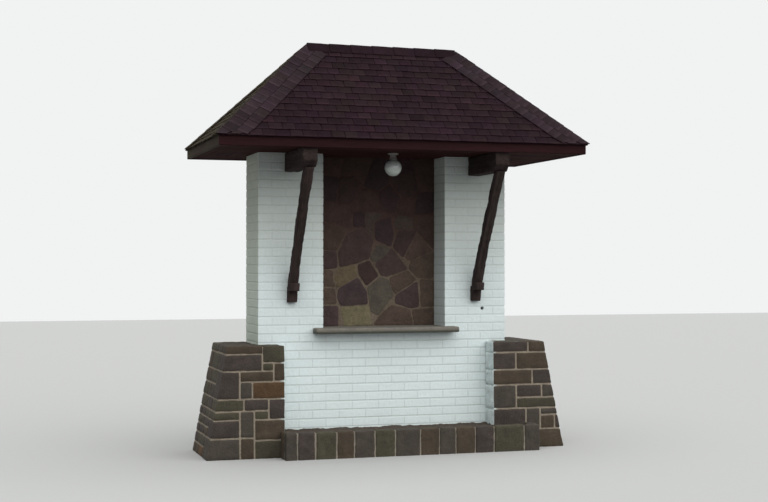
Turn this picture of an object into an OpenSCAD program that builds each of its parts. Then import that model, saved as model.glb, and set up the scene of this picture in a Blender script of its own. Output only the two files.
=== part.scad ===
/* [Wall] */
// Width of the brick wall across the front
body_w = 2320; // [2000:10:2700]
// Thickness of the brick wall from front to back
body_d = 525; // [450:5:700]
// Height of the wall top, where the soffit boards rest
wall_top = 2650; // [2400:10:2900]
// Width of the niche between the two piers
niche_w = 1146; // [900:2:1300]
// Depth of the niche from the wall face to its stone lining
niche_d = 290; // [200:5:320]
// Thickness of the stone lining at the back of the niche
lining_t = 55; // [40:5:80]

/* [Sill] */
// Height of the sill's top face
sill_top = 1107; // [1000:1:1250]
// Thickness of the sill slab
sill_t = 50; // [40:2:80]
// How far the sill stands out in front of the wall
sill_out = 135; // [80:5:180]
// How far each sill ear reaches in front of its pier
sill_ear = 92; // [40:2:120]
// Chamfer along the sill's upper front edge
sill_bevel = 8; // [4:1:14]
// Width of the drip groove under the sill's nose
drip_w = 14; // [8:1:20]

/* [Buttresses] */
// Height of the two corner buttresses
buttress_h = 965; // [800:5:1040]
// How far a buttress laps the front of the wall, in from the corner
buttress_lap = 192; // [120:2:260]
// How far it stands out beside the wall at its top
buttress_side = 305; // [200:5:340]
// How much further it stands out at its foot, from the batter of its side
side_batter = 185; // [100:5:200]
// How far it stands out in front of the wall at its top
buttress_front = 190; // [140:5:240]
// How much further its front stands out at the foot
front_batter = 26; // [10:2:40]

/* [Planter] */
// Height of the planter kerb
kerb_h = 232; // [180:2:300]
// Thickness of the kerb stones
kerb_t = 78; // [60:2:100]
// Distance from the wall face to the front of the kerb
kerb_out = 410; // [350:5:500]
// How far the kerb's left end reaches past the left buttress's inner edge
kerb_lap = 42; // [22:1:110]
// How far the kerb's right end reaches past the corner of the wall
kerb_pass = 175; // [100:5:200]
// How far the soil lies below the kerb's top
soil_drop = 14; // [8:2:40]

/* [Beams and struts] */
// Distance of a beam's middle from the corner of the wall
beam_inset = 298; // [200:2:420]
// Width of a beam
beam_w = 125; // [100:5:160]
// Depth of a beam below the soffit
beam_h = 168; // [140:2:200]
// How far the beams stand out in front of the wall
beam_front = 690; // [500:5:700]
// How far the beams stand out behind the wall
beam_back = 330; // [200:5:360]
// Width of a strut
strut_w = 82; // [70:2:110]
// Thickness of a strut, seen from the side
strut_t = 74; // [60:2:110]
// Height of the seat that a strut stands on, in its foot block
strut_spring = 1470; // [1440:5:1560]
// How far out the middle of a strut meets its beam
strut_reach = 620; // [450:5:640]
// How far a strut bows from a straight line
strut_bow = 16; // [0:2:30]
// Height of the underside of the foot blocks
foot_low = 1335; // [1290:5:1360]
// How far a foot block stands out from the wall at its underside
foot_out = 48; // [30:2:70]
// How far the toe of a foot block reaches past the strut's front
toe_out = 58; // [30:2:80]
// Height of the toe, half of it above the strut's seat
toe_h = 70; // [40:2:90]

/* [Roof] */
// Overhang of the eaves in front of the wall
eave_front = 750; // [720:5:850]
// Overhang of the eaves behind the wall
eave_back = 405; // [380:5:500]
// Overhang of the eaves on each side of the wall
eave_side = 510; // [500:5:600]
// Height of the slates' lower edge above the wall top
eave_rise = 72; // [60:2:90]
// Height of the ridge above the wall top
ridge_rise = 985; // [800:5:1200]
// Length of the ridge
ridge_len = 1400; // [1000:10:1600]
// Thickness of the slate covering, measured upright
slate_t = 20; // [12:1:26]
// Thickness of slates and boarding together, measured upright
deck_t = 56; // [44:2:70]
// How far the slates reach past the fascia
drip_edge = 30; // [20:2:40]
// Thickness of the fascia boards
fascia_t = 25; // [18:1:30]
// How far the fascia hangs below the soffit
fascia_drop = 8; // [0:1:15]
// Thickness of the soffit boards
soffit_t = 20; // [16:1:26]
// Width of each leaf of the ridge slates, measured level
ridge_leaf = 74; // [50:2:100]
// Thickness of the ridge slates, measured upright
ridge_t = 22; // [12:1:30]

/* [Lamp] */
// Diameter of the opal globe
globe_d = 152; // [120:2:180]
// Distance from the wall face to the middle of the lamp
lamp_out = 245; // [180:5:400]
// Height of the neck between the soffit and the globe
neck_h = 44; // [30:2:60]
// Diameter of the neck
neck_d = 58; // [44:2:80]
// Diameter of the ceiling rose
rose_d = 96; // [80:2:130]
// Height of the ceiling rose
rose_h = 14; // [10:1:20]

/* [Hidden] */
$fn = 64;
// Longer than any piece, for cutting shapes
far = 6000;
// Outline of the roof on plan, centred on the origin
roof_w = body_w + 2 * eave_side;
roof_d = eave_front + body_d + eave_back;
// Faces of the wall, measured along Y
front_y = eave_front - roof_d / 2;
back_y = front_y + body_d;
lining_y = front_y + niche_d;
// Levels of the roof
eave_z = wall_top + eave_rise;
ridge_z = wall_top + ridge_rise;
roof_h = ridge_z - eave_z;
hip_run = (roof_w - ridge_len) / 2;
// Rise of the roof for each millimetre in from the eaves
slope_front = roof_h / (roof_d / 2);
slope_side = roof_h / hip_run;
// Top of the brickwork under the sill, which the piers stand on
bed_z = sill_top - sill_t;
pier_w = (body_w - niche_w) / 2;
// Inner edge of a buttress, and the ends of the kerb, from the middle of the wall
buttress_in = body_w / 2 - buttress_lap;
kerb_left = buttress_in + kerb_lap;
kerb_right = body_w / 2 + kerb_pass;
kerb_y = front_y - kerb_out;
beam_x = body_w / 2 - beam_inset;
lamp_y = front_y - lamp_out;
beam_low = wall_top - beam_h;

// The brick wall below the sill
module base_wall() {
    color("whitesmoke")
    translate([-body_w / 2, front_y, 0])
        cube([body_w, body_d, bed_z]);
}

// One pier beside the niche, with the pocket that its beam lies in; side is -1 or 1
module pier(side) {
    color("whitesmoke")
    difference() {
        translate([side * (niche_w + pier_w) / 2 - pier_w / 2, front_y, bed_z])
            cube([pier_w, body_d, wall_top - bed_z]);
        translate([side * beam_x - beam_w / 2, -far / 2, beam_low])
            cube([beam_w, far, far]);
    }
}

// The thinner brick wall behind the niche
module back_wall() {
    back_t = body_d - niche_d - lining_t;
    color("whitesmoke")
    translate([-niche_w / 2, back_y - back_t, bed_z])
        cube([niche_w, back_t, wall_top - bed_z]);
}

// The facing of natural stone at the back of the niche
module stone_lining() {
    color("rosybrown")
    translate([-niche_w / 2, lining_y, bed_z])
        cube([niche_w, lining_t, wall_top - bed_z]);
}

// Side view of the sill's nose, with its bevel and drip groove; X points out of the wall
module sill_nose() {
    difference() {
        polygon([[0, bed_z], [sill_out, bed_z], [sill_out, sill_top - sill_bevel],
            [sill_out - sill_bevel, sill_top], [0, sill_top]]);
        translate([sill_out - 2 * drip_w, bed_z])
            circle(d = drip_w);
    }
}

// The stone sill, let in between the piers and lapping them with its ears
module sill_slab() {
    nose_w = niche_w + 2 * sill_ear;
    color("darkkhaki")
    union() {
        translate([-niche_w / 2, front_y, bed_z])
            cube([niche_w, niche_d, sill_t]);
        translate([-nose_w / 2, front_y, 0])
            rotate([90, 0, -90])
            mirror([0, 0, 1])
            linear_extrude(nose_w)
            sill_nose();
    }
}

// Solid block of a buttress before the wall is cut out of it; side is -1 or 1
module buttress_block(side) {
    outer = body_w / 2 + buttress_side;
    intersection() {
        translate([0, far / 2, 0])
            rotate([90, 0, 0])
            linear_extrude(far)
            polygon([[side * buttress_in, 0], [side * (outer + side_batter), 0],
                [side * outer, buttress_h], [side * buttress_in, buttress_h]]);
        translate([-far / 2, 0, 0])
            rotate([90, 0, 90])
            linear_extrude(far)
            polygon([[front_y - buttress_front - front_batter, 0], [back_y, 0],
                [back_y, buttress_h], [front_y - buttress_front, buttress_h]]);
    }
}

// A corner buttress of rubble stone, battered on its side and front
module buttress(side) {
    color("dimgray")
    difference() {
        buttress_block(side);
        translate([-body_w / 2, front_y, -far / 2])
            cube([body_w, far, far]);
    }
}

// Kerb stones along the front of the planter
module front_kerb() {
    color("gray")
    translate([-kerb_left, kerb_y, 0])
        cube([kerb_left + kerb_right, kerb_t, kerb_h]);
}

// Kerb stones that run back to a buttress; x is the left face of the run
module side_kerb(x, side) {
    color("gray")
    difference() {
        translate([x, kerb_y + kerb_t, 0])
            cube([kerb_t, kerb_out - kerb_t, kerb_h]);
        buttress_block(side);
    }
}

// The bed of soil between the kerb, the wall and the buttresses
module planter_soil() {
    color("saddlebrown")
    difference() {
        translate([kerb_t - kerb_left, kerb_y + kerb_t, 0])
            cube([kerb_left + kerb_right - 2 * kerb_t, kerb_out - kerb_t, kerb_h - soil_drop]);
        buttress_block(-1);
        buttress_block(1);
    }
}

// A timber beam laid across a pier, standing out at the front and the back
module beam(side) {
    end_cut = beam_h / 3;
    color("saddlebrown")
    translate([side * beam_x - beam_w / 2, 0, 0])
        rotate([90, 0, 90])
        linear_extrude(beam_w)
        polygon([[front_y - beam_front, wall_top], [front_y - beam_front, wall_top - beam_h + end_cut],
            [front_y - beam_front + end_cut, beam_low], [back_y + beam_back - end_cut, beam_low],
            [back_y + beam_back, wall_top - beam_h + end_cut], [back_y + beam_back, wall_top]]);
}

// A strut springs with its back against the wall; its half thickness is measured level
strut_rise = beam_low - strut_spring;
strut_half = strut_t / 2 * sqrt(1 + pow(strut_reach / strut_rise, 2));
strut_run = strut_reach - strut_half;
strut_steps = 8;
// Distance of the strut's middle line from the wall, at share u of its height
function strut_mid(u) = strut_half + strut_run * u - strut_bow * sin(180 * u);

// A slanting strut of rough-hewn timber from its foot block to the beam
module strut(side) {
    color("saddlebrown")
    translate([side * beam_x - strut_w / 2, front_y, 0])
        rotate([90, 0, -90])
        mirror([0, 0, 1])
        linear_extrude(strut_w)
        polygon(concat(
            [for (i = [0:strut_steps]) let (u = i / strut_steps)
                [strut_mid(u) - strut_half, strut_spring + strut_rise * u]],
            [for (i = [strut_steps:-1:0]) let (u = i / strut_steps)
                [strut_mid(u) + strut_half, strut_spring + strut_rise * u]]));
}

// The block under a strut, fixed to the wall, with a toe that keeps the strut from sliding out
module strut_foot(side) {
    // Front of the strut at its seat, and how far it leans out on its way up behind the toe
    seat = 2 * strut_half;
    lean = toe_h / 2 * (strut_mid(1 / strut_steps) - strut_mid(0)) * strut_steps / strut_rise;
    toe_y = seat + toe_out;
    color("saddlebrown")
    translate([side * beam_x - strut_w / 2, front_y, 0])
        rotate([90, 0, -90])
        mirror([0, 0, 1])
        linear_extrude(strut_w)
        polygon([[0, foot_low], [foot_out, foot_low], [foot_out + toe_h / 4, strut_spring - toe_h / 2],
            [toe_y, strut_spring - toe_h / 2], [toe_y, strut_spring + toe_h / 2],
            [seat + lean, strut_spring + toe_h / 2], [seat, strut_spring], [0, strut_spring]]);
}

// The four sectors of the roof on plan, which part along the hips and the ridge
module front_sector() {
    polygon([[-roof_w / 2, -roof_d / 2], [roof_w / 2, -roof_d / 2], [ridge_len / 2, 0], [-ridge_len / 2, 0]]);
}
module left_sector() {
    polygon([[-roof_w / 2, -roof_d / 2], [-ridge_len / 2, 0], [-roof_w / 2, roof_d / 2]]);
}

// Keeps only what stands over one sector
module over_front() {
    intersection() {
        children();
        linear_extrude(far) front_sector();
    }
}
module over_left() {
    intersection() {
        children();
        linear_extrude(far) left_sector();
    }
}

// Cross-section of a covering that falls from the middle to the eaves at -half, with its
// boarding cut back behind the fascia; drop is its slope
module covering_profile(half, slope, inner) {
    tuck = drip_edge + fascia_t;
    polygon([[-half, eave_z], [-half + inner, eave_z + slope * inner],
        [-half + inner, eave_z + slope * inner - deck_t], [tuck - half, eave_z + slope * tuck - deck_t],
        [tuck - half, eave_z + slope * tuck - slate_t], [-half, eave_z - slate_t]]);
}

// Cross-section of a fascia board whose top follows the underside of the slates
module fascia_profile(half, slope) {
    low = wall_top - fascia_drop;
    outer = drip_edge;
    inner = drip_edge + fascia_t;
    polygon([[outer - half, low], [inner - half, low],
        [inner - half, eave_z + slope * inner - slate_t], [outer - half, eave_z + slope * outer - slate_t]]);
}

// Carries a cross-section along X, for the front and back of the roof
module along_x() {
    translate([-far / 2, 0, 0]) rotate([90, 0, 90]) linear_extrude(far) children();
}
// Carries a cross-section along Y, for the hipped ends
module along_y() {
    translate([0, far / 2, 0]) rotate([90, 0, 0]) linear_extrude(far) children();
}

// The long slope over the front, and its mirror image over the back
module front_slope() {
    color("darkslategray")
    over_front() along_x() covering_profile(roof_d / 2, slope_front, roof_d / 2);
}
// The hipped end on the left, and its mirror image on the right
module left_hip() {
    color("darkslategray")
    over_left() along_y() covering_profile(roof_w / 2, slope_side, hip_run);
}

// Fascia boards, mitred along the hips
module front_board() {
    color("maroon")
    over_front()
    intersection() {
        along_x() fascia_profile(roof_d / 2, slope_front);
        translate([drip_edge - roof_w / 2, -far / 2, 0]) cube([roof_w - 2 * drip_edge, far, far]);
    }
}
module left_board() {
    color("maroon")
    over_left()
    intersection() {
        along_y() fascia_profile(roof_w / 2, slope_side);
        translate([-far / 2, drip_edge - roof_d / 2, 0]) cube([far, roof_d - 2 * drip_edge, far]);
    }
}

// Inner faces of the fascia, where the soffit boards end
soffit_x = roof_w / 2 - drip_edge - fascia_t;
soffit_y = roof_d / 2 - drip_edge - fascia_t;

// A panel of soffit boards between two corners on plan
module soffit_panel(low, high) {
    color("sienna")
    translate([low.x, low.y, wall_top])
        cube([high.x - low.x, high.y - low.y, soffit_t]);
}

// Slates folded over the ridge, with both leaves following the long slopes
module ridge_slates() {
    fall = ridge_leaf * slope_front;
    color("darkslategray")
    translate([-ridge_len / 2, 0, ridge_z])
        rotate([90, 0, 90])
        linear_extrude(ridge_len)
        polygon([[0, ridge_t], [ridge_leaf, ridge_t - fall], [ridge_leaf, -fall],
            [0, 0], [-ridge_leaf, -fall], [-ridge_leaf, ridge_t - fall]]);
}

// Round ceiling rose of the lamp, under the soffit
module lamp_rose() {
    color("ivory")
    translate([0, lamp_y, wall_top - rose_h])
        cylinder(h = rose_h, d = rose_d);
}

// Neck that holds the globe, with a collar round the globe's mouth
module lamp_neck() {
    collar_h = neck_h / 4;
    collar_d = neck_d + 12;
    color("ivory")
    translate([0, lamp_y, wall_top - rose_h - neck_h])
    union() {
        cylinder(h = neck_h, d = neck_d);
        cylinder(h = collar_h, d = collar_d);
    }
}

// Opal glass globe, flattened where it meets the neck
module lamp_globe() {
    mouth_r = neck_d / 2;
    globe_r = globe_d / 2;
    mouth_z = sqrt(globe_r * globe_r - mouth_r * mouth_r);
    color("white")
    translate([0, lamp_y, wall_top - rose_h - neck_h - mouth_z])
    difference() {
        sphere(d = globe_d);
        translate([-globe_d, -globe_d, mouth_z])
            cube(2 * globe_d);
    }
}

base_wall();
pier(-1);  // left_pier
pier(1);  // right_pier
back_wall();
stone_lining();
sill_slab();
buttress(-1);  // left_buttress
buttress(1);  // right_buttress
front_kerb();
side_kerb(-kerb_left, -1);  // left_kerb
side_kerb(kerb_right - kerb_t, 1);  // right_kerb
planter_soil();
beam(-1);  // left_beam
beam(1);  // right_beam
strut_foot(-1);  // left_strut_foot
strut_foot(1);  // right_strut_foot
strut(-1);  // left_strut
strut(1);  // right_strut
soffit_panel([-body_w / 2, front_y], [body_w / 2, back_y]);  // niche_ceiling
soffit_panel([-soffit_x, -soffit_y], [soffit_x, front_y]);  // front_soffit
soffit_panel([-soffit_x, back_y], [soffit_x, soffit_y]);  // back_soffit
soffit_panel([-soffit_x, front_y], [-body_w / 2, back_y]);  // left_soffit
soffit_panel([body_w / 2, front_y], [soffit_x, back_y]);  // right_soffit
front_board();  // front_fascia
mirror([0, 1, 0]) front_board();  // back_fascia
left_board();  // left_fascia
mirror([1, 0, 0]) left_board();  // right_fascia
front_slope();  // front_roof_slope
mirror([0, 1, 0]) front_slope();  // back_roof_slope
left_hip();  // left_roof_hip
mirror([1, 0, 0]) left_hip();  // right_roof_hip
ridge_slates();
lamp_rose();
lamp_neck();
lamp_globe();
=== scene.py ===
import itertools
import math
from collections import namedtuple

import bpy
import numpy as np
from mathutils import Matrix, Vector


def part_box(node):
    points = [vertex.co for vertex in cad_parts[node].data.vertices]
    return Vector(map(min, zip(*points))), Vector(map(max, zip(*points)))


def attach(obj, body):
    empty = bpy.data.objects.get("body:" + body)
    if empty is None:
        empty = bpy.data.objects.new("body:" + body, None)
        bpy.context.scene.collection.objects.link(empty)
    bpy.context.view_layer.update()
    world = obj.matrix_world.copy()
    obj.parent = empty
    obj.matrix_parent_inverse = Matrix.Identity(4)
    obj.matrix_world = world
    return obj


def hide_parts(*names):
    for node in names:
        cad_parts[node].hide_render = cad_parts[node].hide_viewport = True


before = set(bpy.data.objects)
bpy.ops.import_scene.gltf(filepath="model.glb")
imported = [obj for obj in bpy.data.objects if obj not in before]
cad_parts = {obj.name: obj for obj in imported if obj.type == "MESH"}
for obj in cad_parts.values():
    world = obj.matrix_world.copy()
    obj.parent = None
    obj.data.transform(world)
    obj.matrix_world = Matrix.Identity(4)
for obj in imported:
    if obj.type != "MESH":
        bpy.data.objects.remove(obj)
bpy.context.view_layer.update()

# Camera
# The shrine is seen from its left at eye height, about twelve metres away. The lens is long
# enough for the shrine to fill the frame.
eye = np.array([-3.65, -11.82, 1.66])
aim = np.array([0.02, 0.0, 1.79])
lens_mm = 64.0
view_depth = 200


def placed(name, data):
    """A new object of that name, with the data, in the scene."""
    made = bpy.data.objects.new(name, data)
    bpy.context.scene.collection.objects.link(made)
    return made


camera = placed("camera", bpy.data.cameras.new("camera"))
sight_x, sight_y, sight_z = aim - eye
tilt = math.pi / 2 + math.atan2(sight_z, math.hypot(sight_x, sight_y))
camera.location = eye
camera.rotation_euler = (tilt, 0, -math.atan2(sight_x, sight_y))
camera.data.lens = lens_mm
camera.data.clip_end = view_depth
bpy.context.scene.camera = camera

# Floor, backdrop and lights
# A plain pale floor, a soft sky that is far brighter overhead than at the horizon and shows pale
# behind the shrine, and one wide soft lamp high up in front, a little to the right.
floor_half = 30.0
floor_roughness = 0.9
floor_tone = (0.385, 0.39, 0.38, 1)
floor_bounce = (0.17, 0.17, 0.17, 1)
sky_seen = (0.88, 0.89, 0.89, 1)
sky_light = (0.97, 0.985, 1.0, 1)
sky_overhead = 0.56
sky_level = sky_overhead / 8
lamp_strength = 4.1
lamp_spread = math.radians(110)
lamp_turn = (math.radians(30), 0, math.radians(22))

bpy.context.scene.view_settings.view_transform = "Standard"


def node(tree, kind, inputs=(), out=0, **settings):
    """Adds a shader node with its settings, and returns the output asked for. Each input, by name
    or number, is joined to the socket given for it, or set to the value."""
    made = tree.nodes.new(kind)
    for name, value in settings.items():
        setattr(made, name, value)
    for key, value in dict(inputs).items():
        if isinstance(value, bpy.types.NodeSocket):
            tree.links.new(value, made.inputs[key])
        else:
            made.inputs[key].default_value = value
    return made.outputs[out]


def painted(name, roughness):
    """A new material of that roughness, with its node tree and its shader."""
    made = bpy.data.materials.new(name)
    made.use_nodes = True
    shader = made.node_tree.nodes["Principled BSDF"]
    shader.inputs["Roughness"].default_value = roughness
    return made, made.node_tree, shader


def shows_backdrop(tree):
    """A socket that is 1 on rays from the camera, from gloss or through glass, and 0 on others."""
    path = tree.nodes.new("ShaderNodeLightPath").outputs
    share = path["Is Camera Ray"]
    for kind in ("Is Glossy Ray", "Is Transmission Ray"):
        share = node(tree, "ShaderNodeMath", {0: share, 1: path[kind]}, operation="MAXIMUM")
    return share


def rectangle(x0, y0, x1, y1):
    """The four corners of a rectangle, anticlockwise."""
    return [(x0, y0), (x1, y0), (x1, y1), (x0, y1)]


floor_mesh = bpy.data.meshes.new("floor")
corners = [(*at, 0) for at in rectangle(-floor_half, -floor_half, floor_half, floor_half)]
floor_mesh.from_pydata(corners, [], [(0, 1, 2, 3)])
floor = placed("floor", floor_mesh)
floor_paint, tree, shader = painted("floor_paint", floor_roughness)
tones = {0: shows_backdrop(tree), 6: floor_bounce, 7: floor_tone}
mixed = node(tree, "ShaderNodeMix", tones, 2, data_type="RGBA")
tree.links.new(mixed, shader.inputs["Base Color"])
floor_mesh.materials.append(floor_paint)

sky = bpy.data.worlds.new("sky")
sky.use_nodes = True
bpy.context.scene.world = sky
tree = sky.node_tree
tree.nodes.clear()
direction = node(tree, "ShaderNodeTexCoord", out="Generated")
height = node(tree, "ShaderNodeSeparateXYZ", {0: direction}, "Z")
levels = {"Value": height, "To Min": sky_level, "To Max": sky_overhead}
brightness = node(tree, "ShaderNodeMapRange", levels)
lighting = node(tree, "ShaderNodeBackground", {"Color": sky_light, "Strength": brightness})
backdrop = node(tree, "ShaderNodeBackground", {"Color": sky_seen})
chosen = node(tree, "ShaderNodeMixShader", {0: shows_backdrop(tree), 1: lighting, 2: backdrop})
tree.links.new(chosen, tree.nodes.new("ShaderNodeOutputWorld").inputs[0])

lamp_data = bpy.data.lights.new("studio_lamp", "SUN")
lamp_data.energy = lamp_strength
lamp_data.angle = lamp_spread
placed("studio_lamp", lamp_data).rotation_euler = lamp_turn

# Brick wall below the sill, the two piers and the wall behind the niche
# Bricks laid in half bond under several coats of white masonry paint, which has closed the
# upright joints more than the level ones. The bond runs on unbroken from the wall to the piers.
wall_low, wall_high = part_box("base_wall")
wall_courses = 14
wall_bricks = 9.5
course = wall_high.z / wall_courses
brick = (wall_high.x - wall_low.x) / wall_bricks
niche_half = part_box("back_wall")[1].x
on_plane = 0.001
joint_floor = 0.0022
joint_lip = 0.0085
bed_depth = 0.0026
perpend_depth = 0.0013
brick_stagger = 0.0009
damp_height = 0.10
damp_share = 0.5
# Painted shade under the eaves: the height where it starts and the height over which it grows
eaves_shade_from, eaves_shade_over = 1.3, 0.9
# The joints are less dark in the upper part of the wall
fade_from, fade_over, fade_share = 0.85, 0.5, 0.45
# A small drilled hole below the right strut: its place on the front, its radius and its depth
hole_x, hole_z, hole_r, hole_depth = 0.937, 1.265, 0.0135, 0.022
hole_grid = hole_r * np.array([-1.6, -1.2, -0.9, -0.45, 0, 0.45, 0.9, 1.2, 1.6])


def rgb(*shares):
    """A colour in linear light, as an array that can be blended with others."""
    return np.array(shares)


paint_white = rgb(0.688, 0.772, 0.764)
joint_grey = rgb(0.525, 0.588, 0.574)
damp_green = rgb(0.42, 0.45, 0.38)
# Painted shade on the left side of the wall: darker, and a little greener than the front
left_side_shade = rgb(0.81, 0.82, 0.72)
# How much the painted shade under the eaves darkens each channel at the top of the wall
eaves_shade = rgb(0.08, 0.10, 0.14)
# Painted shade inside the drilled hole
hole_shade = rgb(0.05, 0.05, 0.047)


def smooth_step(value):
    """3t^2 - 2t^3 of the value held between 0 and 1."""
    held = np.clip(value, 0, 1)
    return held * held * (3 - 2 * held)


def blend(start, end, share):
    """The start at a share of 0, the end at 1, and straight between."""
    return start + (end - start) * share


def points_at(x, y, z):
    """An array of points from their coordinates, spread to one shape."""
    return np.stack(np.broadcast_arrays(x, y, z), -1)


def lattice_noise(points, cell, seed=0.0):
    """Smooth noise from -1 to 1: random values on a cubic lattice of the given cell, blended
    between the eight nearest by the smooth-step curve along each axis."""
    place = np.asarray(points, float) / cell + 17.31 * seed
    base = np.floor(place)
    share = smooth_step(place - base)
    total = np.zeros(place.shape[:-1])
    for corner in itertools.product((0, 1), repeat=3):
        value = np.abs(np.sin((base + corner) @ (127.1, 311.7, 74.7)) * 43758.5453) % 1.0
        total = total + value * np.prod(np.where(corner, share, 1 - share), axis=-1)
    return 2 * total - 1


def relief(points, *waves):
    """The sum of lattice noises, each given by its height, cell and seed."""
    return sum(height * lattice_noise(points, cell, seed) for height, cell, seed in waves)


def skin(rings, tone, grain=None, hubs=None):
    """Closed bodies over stacks of rings shaped (bodies, rings, points, 3), or one body without
    the first: quads join each ring to the next, and a fan to its middle, or to the hub given for
    it, closes the first ring and the last. The faces are turned so that the volume inside is
    positive. The tone and the grain coordinates at the rings are carried to every point."""
    count, around = rings.shape[-3:-1]
    row = np.arange(count - 1)[:, None] * around
    here = np.arange(around)
    after = (here + 1) % around
    last = (count - 1) * around
    hub = np.full(around, count * around)
    quads = np.stack([row + here, row + after, row + around + after, row + around + here], -1)
    fans = np.stack([[hub, after, here], [hub + 1, last + here, last + after]])
    layers = []
    for value in (rings, tone, rings if grain is None else grain):
        value = np.broadcast_to(value, rings.shape).reshape(-1, count, around, 3)
        ends = value[:, [0, -1]].mean(2)
        layers.append(np.concatenate([value.reshape(len(value), -1, 3), ends], 1).reshape(-1, 3))
    points = layers[0]
    if hubs is not None:
        points[-2:] = hubs
    each = count * around + 2
    start = np.arange(len(points) // each)[:, None, None] * each
    quads = (quads.reshape(1, -1, 4) + start).reshape(-1, 4)
    fans = (fans.transpose(0, 2, 1).reshape(1, -1, 3) + start).reshape(-1, 3)
    flat = np.concatenate([quads[:, :3], quads[:, [0, 2, 3]], fans])
    volume = np.sum(points[flat[:, 0]] * np.cross(points[flat[:, 1]], points[flat[:, 2]]))
    if volume < 0:
        quads, fans = quads[:, ::-1], fans[:, ::-1]
    return (*layers, quads, fans)


def piece(name, bodies, finish, nodes=(), sharp=35):
    """Joins closed bodies from skin() into one object that rides on the root body in place of
    the CAD nodes. Its attributes tone and grain hold the colour and the grain coordinates."""
    starts = np.cumsum([0] + [len(body[0]) for body in bodies])
    points, tones, grains = (np.concatenate([body[k] for body in bodies]) for k in range(3))
    faces = []
    for body, start in zip(bodies, starts):
        faces += (body[3] + start).tolist() + (body[4] + start).tolist()
    mesh = bpy.data.meshes.new(name)
    mesh.from_pydata(points, [], faces)
    rgba = np.concatenate([tones, np.ones((len(tones), 1))], 1).astype(np.float32)
    mesh.attributes.new("tone", "FLOAT_COLOR", "POINT").data.foreach_set("color", rgba.ravel())
    vectors = mesh.attributes.new("grain", "FLOAT_VECTOR", "POINT")
    vectors.data.foreach_set("vector", grains.astype(np.float32).ravel())
    mesh.polygons.foreach_set("use_smooth", np.ones(len(faces), bool))
    mesh.set_sharp_from_angle(angle=math.radians(sharp))
    mesh.materials.append(finish)
    made = placed(name, mesh)
    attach(made, "root")
    if nodes:
        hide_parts(*nodes)


def weathered(name, roughness, mottles, bump, layers=(), follow=None, specular=0.3):
    """A finish from the piece's own tone. Each mottle is a noise (size in metres, strength) that
    lightens and darkens it. Each layer is (colour, size, from, to, most): the colour is laid on
    where another noise climbs between the two levels. Each bump is (size, depth). The pattern
    follows object coordinates, or the grain attribute."""
    made, tree, shader = painted(name, roughness)
    shader.inputs["Specular IOR Level"].default_value = specular
    if follow:
        spot = node(tree, "ShaderNodeAttribute", out="Vector", attribute_name=follow)
    else:
        spot = node(tree, "ShaderNodeTexCoord", out="Object")

    def noise(size, detail, fineness):
        """Noise of a size at the pattern's coordinates."""
        values = {"Vector": spot, "Scale": 1 / size, "Detail": detail, "Roughness": fineness}
        return node(tree, "ShaderNodeTexNoise", values)

    colour = node(tree, "ShaderNodeAttribute", out="Color", attribute_name="tone")
    for size, strength in mottles:
        levels = {"Value": noise(size, 5.0, 0.6), "From Min": 0.28, "From Max": 0.72,
                  "To Min": 1 - strength, "To Max": 1 + strength}
        scale = node(tree, "ShaderNodeMapRange", levels)
        colour = node(tree, "ShaderNodeVectorMath", {0: colour, "Scale": scale}, operation="SCALE")
    for shade, size, low, high, most in layers:
        levels = {"Value": noise(size, 7.0, 0.66), "From Min": low, "From Max": high,
                  "To Max": most}
        share = node(tree, "ShaderNodeMapRange", levels, interpolation_type="SMOOTHSTEP")
        tones = {0: share, 6: colour, 7: (*shade, 1)}
        colour = node(tree, "ShaderNodeMix", tones, 2, data_type="RGBA")
    tree.links.new(colour, shader.inputs["Base Color"])
    raised = {}
    for size, depth in bump:
        raised |= {"Height": noise(size, 8.0, 0.62), "Strength": 1.0, "Distance": depth}
        raised["Normal"] = node(tree, "ShaderNodeBump", raised)
    tree.links.new(raised["Normal"], shader.inputs["Normal"])
    return made


def groove(distance):
    """1 on the floor of a joint and 0 past its lip, with a smooth-step flank between them."""
    return 1 - smooth_step((np.abs(distance) - joint_floor) / (joint_lip - joint_floor))


def to_nearest(value, pitch):
    """Signed distance from a value to the nearest multiple of the pitch."""
    return (value + pitch / 2) % pitch - pitch / 2


def joint_lines(low, high, pitch, origin, clear=0.005):
    """Grid lines from low to high: six across each joint at a multiple of the pitch from the
    origin, two on the brick between them, and both ends, which the others stay clear of."""
    first, last = math.floor((low - origin) / pitch) - 1, math.ceil((high - origin) / pitch) + 1
    joints = origin + pitch * np.arange(first, last + 1)[:, None]
    marks = np.array([joint_floor, joint_lip, joint_lip + 0.003])
    steps = np.concatenate([-marks, marks, pitch * np.array([0.36, 0.64])])
    lines = (joints + steps).ravel()
    inside = lines[(lines > low + clear) & (lines < high - clear)]
    return np.concatenate([[low], np.sort(inside), [high]])


def box_rings(xs, ys, zs):
    """Rings of points round an upright block, one at each height, along its four sides at the
    given lines, with each point's side and the outward push there: its side's normal, or the
    sum of two at an edge."""
    counts = [len(xs) - 1, len(ys) - 1] * 2
    east, west = np.full(counts[1], xs[-1]), np.full(counts[1], xs[0])
    south, north = np.full(counts[0], ys[0]), np.full(counts[0], ys[-1])
    x = np.concatenate([xs[:-1], east, xs[:0:-1], west])
    y = np.concatenate([south, ys[:-1], north, ys[:0:-1]])
    side = np.repeat(np.arange(4), counts)
    normals = np.array([(0, -1, 0), (1, 0, 0), (0, 1, 0), (-1, 0, 0)], float)
    turns = (side != np.roll(side, 1))[:, None]
    push = normals[side] + np.where(turns, normals[side - 1], 0)
    return points_at(x, y, zs[:, None]), side, push


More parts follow.
